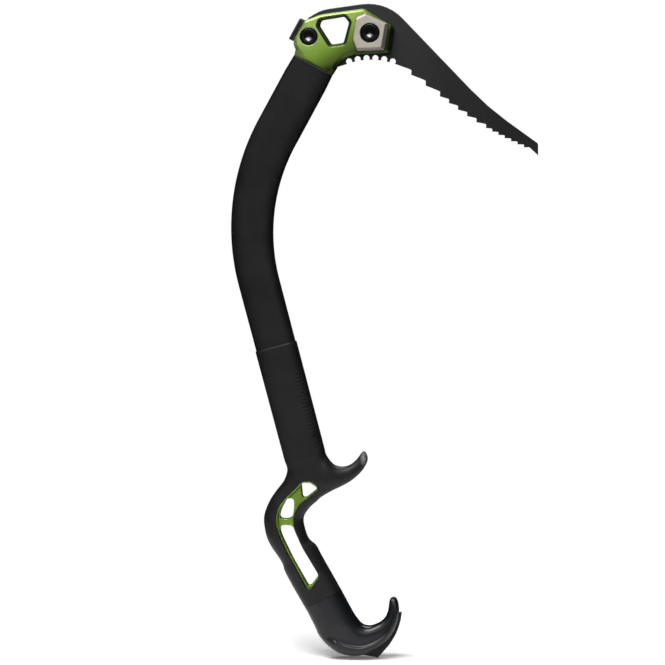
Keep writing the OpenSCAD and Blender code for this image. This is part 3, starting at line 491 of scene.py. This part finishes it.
def dress(name, bm, node, sharp_degrees=35, weighted=True):
    """Object for a finished piece that stands for a CAD node and rides on its body; frees the bmesh."""
    mesh = to_mesh(bm, name)
    mesh.polygons.foreach_set("use_smooth", [True] * len(mesh.polygons))
    mesh.set_sharp_from_angle(angle=math.radians(sharp_degrees))
    mesh.materials.append(finish_for(node))
    piece = bpy.data.objects.new(name, mesh)
    bpy.context.scene.collection.objects.link(piece)
    if weighted:
        modifier = piece.modifiers.new("even shading", "WEIGHTED_NORMAL")
        modifier.keep_sharp = True
    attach(piece, BODY_OF[node])
    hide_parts(node)


def merged_copy(node, flat_degrees=0.4):
    """Copy of a CAD node with its triangles merged and its flat faces joined."""
    bm = bmesh.new()
    bm.from_mesh(frame["nodes"][node].data)
    bmesh.ops.remove_doubles(bm, verts=bm.verts, dist=WELD)
    bmesh.ops.dissolve_degenerate(bm, edges=bm.edges, dist=WELD)
    bmesh.ops.dissolve_limit(bm, angle_limit=math.radians(flat_degrees), verts=bm.verts, edges=bm.edges)
    return bm


def mark_corners(bm, name, share):
    """Marks the corners round each vertex with the share, from 0 to 1, that a function gives it."""
    mark = bm.loops.layers.float.new(name)
    for vert in bm.verts:
        marked = max(0.0, min(1.0, share(vert)))
        for loop in vert.link_loops:
            loop[mark] = marked


def mark_faces(bm, name, share):
    """Marks the corners of each face with the share, from 0 to 1, that a function gives it."""
    mark = bm.loops.layers.float.new(name)
    for face in bm.faces:
        for loop in face.loops:
            loop[mark] = share(face)


def mark_edges(bm, full_degrees=28):
    """Marks how sharply the surface turns outwards, for edge wear and a painted edge highlight."""
    full = math.radians(full_degrees)
    mark_corners(bm, "edge", lambda v: sum(e.calc_face_angle_signed(0) for e in v.link_edges) / full)


def only(geometry, kind):
    """Items of one kind among those that a bmesh operator made."""
    return [item for item in geometry if isinstance(item, kind)]


def extruded(bm, edges):
    """Extrudes edges in place, and gives the new vertices and the edges between them."""
    made = bmesh.ops.extrude_edge_only(bm, edges=edges)["geom"]
    verts = only(made, bmesh.types.BMVert)
    new = set(verts)
    return verts, [e for e in only(made, bmesh.types.BMEdge) if all(v in new for v in e.verts)]


def round_edges(bm, width, least_degrees=32):
    """Rounds the sharp outer edges and gives the faces that this makes."""
    sharp = [e for e in bm.edges
             if e.is_manifold and e.is_convex and e.calc_face_angle(0) > math.radians(least_degrees)]
    made = bmesh.ops.bevel(bm, geom=sharp, offset=width, offset_type="OFFSET", segments=2, profile=0.5,
                           affect="EDGES", clamp_overlap=False, material=-1)
    return set(made["faces"])


def rounded_copy(node, width):
    """Form of a CAD node with its outer edges rounded, and marked for wear and a painted edge highlight."""
    bm = merged_copy(node)
    rounded = round_edges(bm, width)
    mark_faces(bm, "edge", lambda f: float(f in rounded))
    return bm


def cut_off(bm, point, direction):
    """Leaves out what lies beyond a plane, and gives the edges round the cut."""
    made = bmesh.ops.bisect_plane(bm, geom=[*bm.verts, *bm.edges, *bm.faces], plane_co=point,
                                  plane_no=direction, clear_outer=True)
    return only(made["geom_cut"], bmesh.types.BMEdge)


def crisp_end(bm, point, direction, back):
    """Cuts a piece back from a seam's plane and carries the cut straight out to the plane."""
    end, rim = extruded(bm, cut_off(bm, point - direction * back, direction))
    bmesh.ops.translate(bm, verts=end, vec=direction * back)
    bmesh.ops.triangle_fill(bm, edges=rim, use_beauty=True, normal=direction)


def smooth(bm, verts, rounds):
    """Evens out vertices, round by round."""
    for _ in range(rounds):
        bmesh.ops.smooth_vert(bm, verts=verts, factor=0.5, use_axis_x=True, use_axis_y=True,
                              use_axis_z=True)


def even_faces(bm, name, voxel):
    """The same form in even faces; the given bmesh is freed."""
    form = bpy.data.objects.new(name, to_mesh(bm, name))
    bpy.context.scene.collection.objects.link(form)
    remesh = form.modifiers.new("even faces", "REMESH")
    remesh.mode = "VOXEL"
    remesh.voxel_size = voxel
    remesh.adaptivity = 0
    bpy.context.view_layer.update()
    even = bpy.data.meshes.new_from_object(form.evaluated_get(bpy.context.evaluated_depsgraph_get()))
    bm = bmesh.new()
    bm.from_mesh(even)
    rough = form.data
    bpy.data.objects.remove(form)
    bpy.data.meshes.remove(rough)
    bpy.data.meshes.remove(even)
    return bm


def even_copy(node, voxel, rounds, tang=None, seams=(), spots=()):
    """Form of a CAD node with even faces and soft edges.

    A tang is a plane beyond which the hidden rest is left out. A seam is a plane where the piece ends
    crisply. A spot is a place, a radius and a number of rounds for a softer blend.
    """
    bm = merged_copy(node, FINE_FLAT_DEGREES)
    if tang:
        bmesh.ops.holes_fill(bm, edges=cut_off(bm, *tang), sides=0)
    bm = even_faces(bm, node + "_form", voxel)
    back = 2 * voxel
    soft = [v for v in bm.verts
            if all(abs((v.co - point).dot(direction)) > back for point, direction in seams)]
    smooth(bm, soft, rounds)
    for place, radius, more in spots:
        smooth(bm, [v for v in soft if (v.co - place).length < radius], more)
    for point, direction in seams:
        crisp_end(bm, point, direction, back)
    bm.normal_update()
    return bm


# Tube path


def forwards(lean):
    """Direction across a line that leans forward by an angle."""
    return Vector((math.cos(lean), 0, -math.sin(lean)))


def upwards(lean):
    """Direction along a line that leans forward by an angle."""
    return Vector((math.sin(lean), 0, math.cos(lean)))


def bend_len():
    """Length of the bend along the tube's back edge."""
    s = sizes()
    return s.bend_radius * (s.lower_lean + s.upper_lean)


def tube_len():
    """Length of the tube along its back edge."""
    return sizes().lower_len + bend_len() + sizes().upper_len


def tube_place(run, grow):
    """Placement of the tube's section at a run along its back edge, grown outwards."""
    s = sizes()
    back = Vector((s.seam_x, 0, s.seam_z)) - forwards(-s.lower_lean) * s.depth_low / 2
    bend_end = s.lower_len + bend_len()
    if run < s.lower_len:
        lean = -s.lower_lean
        back = back + upwards(lean) * run
        depth = s.depth_low + (s.depth_mid - s.depth_low) * run / s.lower_len
    else:
        turn = min(run, bend_end) - s.lower_len
        lean = turn / s.bend_radius - s.lower_lean
        centre = back + upwards(-s.lower_lean) * s.lower_len + forwards(-s.lower_lean) * s.bend_radius
        back = centre - forwards(lean) * s.bend_radius + upwards(lean) * max(0.0, run - bend_end)
        depth = s.depth_mid + (s.depth_top - s.depth_mid) * turn / bend_len()
    middle = back + forwards(lean) * depth / 2
    drawn_in = max(0.0, run - tube_len() + s.mouth_len) / s.mouth_len
    depth -= (s.depth_top - s.neck_depth) * drawn_in
    across = Vector((0, s.tube_thick / 2 + grow, 0))
    place = Matrix((forwards(lean) * (depth / 2 + grow), across, upwards(lean))).transposed().to_4x4()
    place.translation = middle
    return place


def sleeve_seam():
    """Plane where the sleeve meets the lower grip, as a point and a direction."""
    s = sizes()
    return Vector((s.seam_x, 0, s.seam_z)), upwards(-s.lower_lean)


def pommel_seam():
    """Plane where the lower grip meets the pommel, as a point and a direction."""
    s = sizes()
    return Vector((s.foot_x, 0, s.foot_z)), upwards(-s.handle_lean)


def section_ring(bm, sides, power):
    """Ring of a squared oval of half width one."""
    ring = bmesh.ops.create_circle(bm, cap_ends=False, segments=sides, radius=1)["verts"]
    for vert in ring:
        for axis in (0, 1):
            vert.co[axis] = math.copysign(abs(vert.co[axis]) ** (2 / power), vert.co[axis])
    return ring


def swept(places):
    """Open skin swept through a row of placements."""
    bm = bmesh.new()
    ring = section_ring(bm, sizes().round_sides, sizes().tube_power)
    bmesh.ops.transform(bm, matrix=places[0], verts=ring)
    edges = list({e for v in ring for e in v.link_edges})
    for before, after in zip(places, places[1:]):
        ring, edges = extruded(bm, edges)
        bmesh.ops.transform(bm, matrix=after @ before.inverted(), verts=ring)
    bmesh.ops.recalc_face_normals(bm, faces=bm.faces)
    return bm


# Pieces


class ICE_TOOL_OT_tube(bpy.types.Operator):
    """Bent oval tube of the shaft"""

    bl_idname = "ice_tool.tube"
    bl_label = "Shaft tube"

    def execute(self, context):
        s = sizes()
        runs = [0, s.lower_len]
        runs += [s.lower_len + bend_len() * (i + 1) / s.bend_steps for i in range(s.bend_steps)]
        runs += [tube_len() - s.mouth_len, tube_len()]
        bm = swept([tube_place(run, 0) for run in runs])
        bmesh.ops.solidify(bm, geom=bm.faces, thickness=s.tube_wall)
        round_edges(bm, s.rim_edge, least_degrees=60)
        mouth = tube_place(tube_len(), 0).translation
        way = upwards(s.upper_lean)
        mark_faces(bm, "edge", lambda f: float((f.calc_center_median() - mouth).dot(way) > -s.rim_band))
        dress("shaft_tube", bm, "shaft")
        return {"FINISHED"}


class ICE_TOOL_OT_sleeve(bpy.types.Operator):
    """Rubber sleeve on the tube, with fine dashes pressed into its front"""

    bl_idname = "ice_tool.sleeve"
    bl_label = "Upper grip sleeve"

    def execute(self, context):
        s = sizes()
        pitch = (s.sleeve_len - s.lip_len - s.sleeve_gap) / s.sleeve_rings
        places = [tube_place(s.sleeve_gap + pitch * i, s.sleeve_wall) for i in range(s.sleeve_rings + 1)]
        places.append(tube_place(s.sleeve_len - s.lip_turn, s.sleeve_wall - s.lip_ease))
        places.append(tube_place(s.sleeve_len, s.sleeve_wall - s.lip_turn))
        bm = swept(places)
        dashes = [f for f in bm.faces if self.in_dash(f.calc_center_median(), pitch)]
        bmesh.ops.inset_individual(bm, faces=dashes, thickness=s.dash_edge, depth=-s.dash_depth,
                                   use_even_offset=True)
        bmesh.ops.solidify(bm, geom=bm.faces, thickness=s.sleeve_wall - s.sleeve_fit)
        dress("upper_grip_sleeve", bm, "upper_grip")
        return {"FINISHED"}

    def in_dash(self, place, pitch):
        """Tells whether the middle of a face of the sleeve lies in one of its dashes."""
        s = sizes()
        seam, way = sleeve_seam()
        ring = round((place - seam).dot(way) / pitch - 0.5)
        forward = (place - seam).dot(forwards(-s.lower_lean)) / (s.depth_low / 2)
        return s.dash_first <= ring <= s.dash_last and ring % 2 == 1 and s.dash_near < forward < s.dash_far


class ICE_TOOL_OT_head(bpy.types.Operator):
    """Two-cheek forged head"""

    bl_idname = "ice_tool.head"
    bl_label = "Head"

    def execute(self, context):
        s = sizes()
        mouth = tube_place(tube_len() - s.tang_kept, 0).translation
        bm = even_copy("head", s.alloy_voxel, s.alloy_rounds, tang=(mouth, -upwards(s.upper_lean)))
        mark_edges(bm)
        # Painted shade in the head's window and on its upward faces.
        mark_corners(bm, "painted_shade", self.window_and_top_shade)
        dress("head_forging", bm, "head", sharp_degrees=180, weighted=False)
        return {"FINISHED"}

    def window_and_top_shade(self, vert):
        """Share of painted shade at a vertex: how far it faces into the head's window, or up."""
        s = sizes()
        shade_from = 0.15
        shade_over = 0.35
        inwards = (MOUNT_PLACE["head_eye"] - vert.co) * Vector((1, 0, 1))
        facing = vert.normal.dot(inwards.normalized()) if inwards.length < s.window_reach else 0
        return max((facing - shade_from) / shade_over, s.top_shade_share * vert.normal.z)


class ICE_TOOL_OT_blades(bpy.types.Operator):
    """Pick, hammer and spike"""

    bl_idname = "ice_tool.blades"
    bl_label = "Blades"

    def execute(self, context):
        for node, name in (("pick", "pick_blade"), ("hammer", "hammer_block"), ("spike", "spike_blade")):
            dress(name, rounded_copy(node, sizes().blade_edge), node)
        return {"FINISHED"}


class ICE_TOOL_OT_collar(bpy.types.Operator):
    """Six-sided collar and the far-side nut plate"""

    bl_idname = "ice_tool.collar"
    bl_label = "Collar and nut plate"

    def execute(self, context):
        down_share = 0.6
        for node, name in (("pick_collar", "pick_collar_plate"), ("pick_nut", "pick_nut_plate")):
            bm = merged_copy(node)
            round_edges(bm, sizes().collar_edge)
            # Painted shade on the faces turned to the right and downwards, away from the light.
            mark_faces(bm, "painted_shade", lambda f: max(0.0, f.normal.x, -down_share * f.normal.z))
            dress(name, bm, node)
        return {"FINISHED"}


class ICE_TOOL_OT_nuts(bpy.types.Operator):
    """Rear nut, pommel nut and the frame's pins"""

    bl_idname = "ice_tool.nuts"
    bl_label = "Nuts and pins"

    def execute(self, context):
        for node in ("rear_nut", "pommel_nut", "frame_pins"):
            dress(node + "_steel", rounded_copy(node, sizes().nut_edge), node)
        return {"FINISHED"}


def turned_bolt(node, shank_d, flats):
    """Turned socket-head bolt about its joint's axis, with its head where the CAD node's is."""
    s = sizes()
    low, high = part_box(node)
    axis = JOINT_PLACE[node]
    top, way = (high.y, -1) if node == "pommel_bolt" else (low.y, 1)
    reach = high.y - low.y
    head_r = (high.x - low.x) / 2
    shank_r = shank_d / 2
    hex_r = flats / 2 / math.cos(math.pi / 6)
    edge = s.bolt_edge
    arc_steps = 5
    arc = [math.pi / 2 * i / arc_steps for i in range(arc_steps + 1)]
    profile = [(hex_r + s.socket_land, 0)]
    profile += [(head_r - edge + edge * math.sin(a), edge - edge * math.cos(a)) for a in arc]
    profile += [(head_r, s.bolt_head - s.bolt_under), (head_r - s.bolt_under, s.bolt_head),
                (shank_r, s.bolt_head), (shank_r, reach - s.bolt_tip), (shank_r - s.bolt_tip, reach),
                (0, reach)]
    bm = bmesh.new()
    verts = [bm.verts.new((axis.x + r, top + way * y, axis.z)) for r, y in profile]
    edges = [bm.edges.new(pair) for pair in zip(verts, verts[1:])]
    bmesh.ops.spin(bm, geom=verts + edges, cent=(axis.x, 0, axis.z), axis=(0, 1, 0), angle=2 * math.pi,
                   steps=s.round_sides, use_merge=True)
    bmesh.ops.remove_doubles(bm, verts=bm.verts, dist=FINE_WELD)

    rim = [e for e in bm.edges if e.is_boundary]
    place = Matrix.Translation((axis.x, top + way * s.socket_lead, axis.z))
    place = place @ Matrix.Rotation(math.pi / 2, 4, "X")
    hexagon = bmesh.ops.create_circle(bm, cap_ends=False, segments=6, radius=hex_r, matrix=place)["verts"]
    mouth = list({e for v in hexagon for e in v.link_edges})
    bmesh.ops.bridge_loops(bm, edges=rim + mouth)
    floor, ring = extruded(bm, mouth)
    bmesh.ops.translate(bm, verts=floor, vec=(0, way * (s.socket_depth - s.socket_lead), 0))
    point, _ = extruded(bm, ring)
    bmesh.ops.scale(bm, vec=(0, 1, 0), verts=point, space=Matrix.Translation((-axis.x, 0, -axis.z)))
    bmesh.ops.translate(bm, verts=point, vec=(0, way * s.socket_point, 0))
    bmesh.ops.remove_doubles(bm, verts=bm.verts, dist=FINE_WELD)
    bmesh.ops.recalc_face_normals(bm, faces=bm.faces)

    on_axis = 0.1 * MM
    socket_end = {v for v in bm.verts if (v.co - Vector((axis.x, v.co.y, axis.z))).length < on_axis
                  and way * (v.co.y - top) < s.bolt_head}
    # Worn steel on the lowest face of the socket's point only, placed so it shows a glint.
    mark_faces(bm, "edge", lambda f: float(any(v in socket_end for v in f.verts)
                                           and f.calc_center_median().z < axis.z - flats / 4))
    return bm


class ICE_TOOL_OT_bolts(bpy.types.Operator):
    """Socket-head bolts of the pick, the head's rear and the pommel"""

    bl_idname = "ice_tool.bolts"
    bl_label = "Bolts"

    def execute(self, context):
        s = sizes()
        for node, shank, flats in (("pick_bolt", s.pick_bolt_d, s.socket_head),
                                   ("rear_bolt", s.rear_bolt_d, s.socket_head),
                                   ("pommel_bolt", s.pommel_bolt_d, s.socket_pommel)):
            dress(node + "_steel", turned_bolt(node, shank, flats), node)
        return {"FINISHED"}


class ICE_TOOL_OT_handle_frame(bpy.types.Operator):
    """Open alloy frame inside the grip"""

    bl_idname = "ice_tool.handle_frame"
    bl_label = "Handle frame"

    def execute(self, context):
        s = sizes()
        seam = tube_place(s.tang_kept, 0).translation
        bm = even_copy("handle_frame", s.alloy_voxel, s.alloy_rounds, tang=(seam, upwards(-s.lower_lean)))
        mark_edges(bm)
        self.score(bm)
        dress("handle_frame_alloy", bm, "handle_frame", sharp_degrees=180, weighted=False)
        return {"FINISHED"}

    def score(self, bm):
        """Scores a groove along the back of the grip's opening and marks it for painted shade in the groove."""
        s = sizes()
        grip = merged_copy("lower_grip", FINE_FLAT_DEGREES)
        rim = BVHTree.FromBMesh(grip)
        grip.free()
        scored = {}
        for vert in bm.verts:
            nearest, _, _, away = rim.find_nearest(vert.co)
            share = 1 - abs(away - s.score_place) / s.score_half
            if share > 0 and nearest.x <= vert.co.x and abs(vert.co.y) >= s.score_reach:
                scored[vert] = share
        for vert, share in scored.items():
            vert.co.y -= math.copysign(share * s.score_depth, vert.co.y)
        mark_corners(bm, "painted_shade", lambda v: scored.get(v, 0.0))


class ICE_TOOL_OT_grip(bpy.types.Operator):
    """Moulded lower grip with its trigger"""

    bl_idname = "ice_tool.grip"
    bl_label = "Lower grip"

    def execute(self, context):
        s = sizes()
        top, top_way = sleeve_seam()
        foot, foot_way = pommel_seam()
        trigger_root = Vector((0.022, 0, 0.060))
        root_radius = 0.018
        root_rounds = 30
        bm = even_copy("lower_grip", s.grip_voxel, s.mould_rounds,
                       seams=((top, top_way), (foot, -foot_way)),
                       spots=((trigger_root, root_radius, root_rounds),))
        # Painted highlight on the trigger's tip, in the rubber's edge colour.
        mark_corners(bm, "edge", self.painted_tip_highlight)
        dress("lower_grip_moulding", bm, "lower_grip", sharp_degrees=60, weighted=False)
        return {"FINISHED"}

    def painted_tip_highlight(self, vert):
        """How near a vertex lies to the painted highlight on the trigger's tip."""
        trigger_tip = Vector((0.0494, 0, 0.0725))
        half_sizes = (0.003, 0.03, 0.008)
        return 1 - Vector([away / half for away, half in zip(vert.co - trigger_tip, half_sizes)]).length


class ICE_TOOL_OT_pommel(bpy.types.Operator):
    """Moulded hooked pommel"""

    bl_idname = "ice_tool.pommel"
    bl_label = "Pommel"

    def execute(self, context):
        s = sizes()
        foot, way = pommel_seam()
        lip_root = Vector((0.0208, -0.0115, -0.0639))
        far_root = lip_root * Vector((1, -1, 1))
        root_radius = 0.009
        root_rounds = 40
        bm = even_copy("pommel", s.pommel_voxel, s.mould_rounds, seams=((foot - way * s.seam_gap, way),),
                       spots=((lip_root, root_radius, root_rounds), (far_root, root_radius, root_rounds)))
        dress("pommel_moulding", bm, "pommel", sharp_degrees=60, weighted=False)
        return {"FINISHED"}


# Stage


def aimed(name, data, place, aim):
    """Object for a camera or a light that looks from a place at a point."""
    seer = bpy.data.objects.new(name, data)
    bpy.context.scene.collection.objects.link(seer)
    seer.location = place
    seer.rotation_euler = (Vector(aim) - Vector(place)).to_track_quat("-Z", "Y").to_euler()
    return seer


def area_light(name, place, aim, spread, power):
    """Rectangular soft light aimed at a point."""
    light = bpy.data.lights.new(name, "AREA")
    light.shape = "RECTANGLE"
    light.size, light.size_y = spread
    light.energy = power
    aimed(name, light, place, aim)


class ICE_TOOL_OT_stage(bpy.types.Operator):
    """Camera, lights, room and pale floor"""

    bl_idname = "ice_tool.stage"
    bl_label = "Stage"

    def execute(self, context):
        scene = context.scene
        st = scene.ice_tool_stage
        scene.view_settings.view_transform = "Standard"
        target = Vector((st.target_x, 0, st.target_z))

        lens = bpy.data.cameras.new("camera")
        lens.lens = lens.sensor_width * st.distance / st.field
        lens.clip_end = 50
        level = math.cos(st.pitch)
        back = Vector((math.sin(st.yaw) * level, -math.cos(st.yaw) * level, math.sin(st.pitch)))
        scene.camera = aimed("camera", lens, target + st.distance * back, target)

        area_light("key", st.key_place, target, st.key_spread, st.key_power)
        area_light("top", st.top_place, st.top_aim, st.top_spread, st.top_power)
        area_light("back", st.back_place, target, st.back_spread, st.back_power)
        scene.world = self.room(st)
        floor = self.floor(st)
        scene.collection.objects.link(floor)
        return {"FINISHED"}

    def room(self, st):
        """World that lights the tool from behind the camera and shows white behind the tool."""
        world = bpy.data.worlds.new("studio room")
        world.use_nodes = True
        tree = world.node_tree
        white = (1, 1, 1, 1)
        around = add_node(tree, "TexCoord", {}).outputs["Generated"]
        frontness = add_node(tree, "VectorMath", {0: around, 1: (0, -1, 0)}, operation="DOT_PRODUCT")
        glow = add_node(tree, "MapRange", {
            "Value": frontness.outputs["Value"], "From Min": st.room_from, "From Max": st.room_to,
            "To Min": st.room_side, "To Max": st.room_front}, interpolation_type="SMOOTHSTEP")
        lit = tree.nodes["Background"]
        set_inputs(tree, lit, {"Color": white, "Strength": glow.outputs["Result"]})
        shown = add_node(tree, "Background", {"Color": white})
        seen = add_node(tree, "LightPath", {}).outputs["Is Camera Ray"]
        mix = add_node(tree, "MixShader", {"Fac": seen, 1: lit.outputs[0], 2: shown.outputs[0]})
        set_inputs(tree, tree.nodes["World Output"], {"Surface": mix.outputs["Shader"]})
        return world

    def floor(self, st):
        """Pale floor that rises gently behind the tool."""
        bm = bmesh.new()
        middle = (st.floor_x, st.floor_behind - st.floor_half, CAD_BOX[0][2] - st.floor_drop)
        bmesh.ops.create_grid(bm, x_segments=2, y_segments=st.floor_rows, size=st.floor_half,
                              matrix=Matrix.Translation(middle))
        for vert in bm.verts:
            vert.co.z += max(0.0, vert.co.y + st.sweep_lead) ** 2 / 2 / st.sweep_radius
        for face in bm.faces:
            face.smooth = True
        white = colours().floor_white
        paint = finish("pale floor", white, white, metallic=0.0, rough=(0.7, 0.8), grain=(300, 0.01),
                       mottle=(3, 0.01))
        set_inputs(paint.node_tree, paint.node_tree.nodes["Principled BSDF"],
                   {"Emission Color": (1, 1, 1, 1), "Emission Strength": st.floor_glow})
        mesh = to_mesh(bm, "floor")
        mesh.materials.append(paint)
        return bpy.data.objects.new("floor", mesh)


STEPS = (
    ICE_TOOL_OT_tube,
    ICE_TOOL_OT_sleeve,
    ICE_TOOL_OT_head,
    ICE_TOOL_OT_blades,
    ICE_TOOL_OT_collar,
    ICE_TOOL_OT_nuts,
    ICE_TOOL_OT_bolts,
    ICE_TOOL_OT_handle_frame,
    ICE_TOOL_OT_grip,
    ICE_TOOL_OT_pommel,
    ICE_TOOL_OT_stage,
)


class ICE_TOOL_PT_panel(bpy.types.Panel):
    """Panel that lists the pieces and their settings"""

    bl_idname = "ICE_TOOL_PT_panel"
    bl_label = "Ice climbing tool"
    bl_space_type = "VIEW_3D"
    bl_region_type = "UI"
    bl_category = "Ice Tool"

    def draw(self, context):
        layout = self.layout
        for step in STEPS:
            layout.operator(step.bl_idname)
        for group in (context.scene.ice_tool_sizes, context.scene.ice_tool_colours,
                      context.scene.ice_tool_stage):
            box = layout.box()
            for name in group.bl_rna.properties.keys():
                if name not in ("rna_type", "name"):
                    box.prop(group, name)


CLASSES = (IceToolSizes, IceToolColours, IceToolStage, *STEPS, ICE_TOOL_PT_panel)


def register():
    """Registers the classes and their settings."""
    for cls in CLASSES:
        bpy.utils.register_class(cls)
    bpy.types.Scene.ice_tool_sizes = PointerProperty(type=IceToolSizes)
    bpy.types.Scene.ice_tool_colours = PointerProperty(type=IceToolColours)
    bpy.types.Scene.ice_tool_stage = PointerProperty(type=IceToolStage)


def unregister():
    """Takes the settings and the classes away again."""
    del bpy.types.Scene.ice_tool_stage
    del bpy.types.Scene.ice_tool_colours
    del bpy.types.Scene.ice_tool_sizes
    for cls in reversed(CLASSES):
        bpy.utils.unregister_class(cls)


def main():
    register()
    for step in STEPS:
        family, name = step.bl_idname.split(".")
        getattr(getattr(bpy.ops, family), name)()


if __name__ == "__main__":
    main()
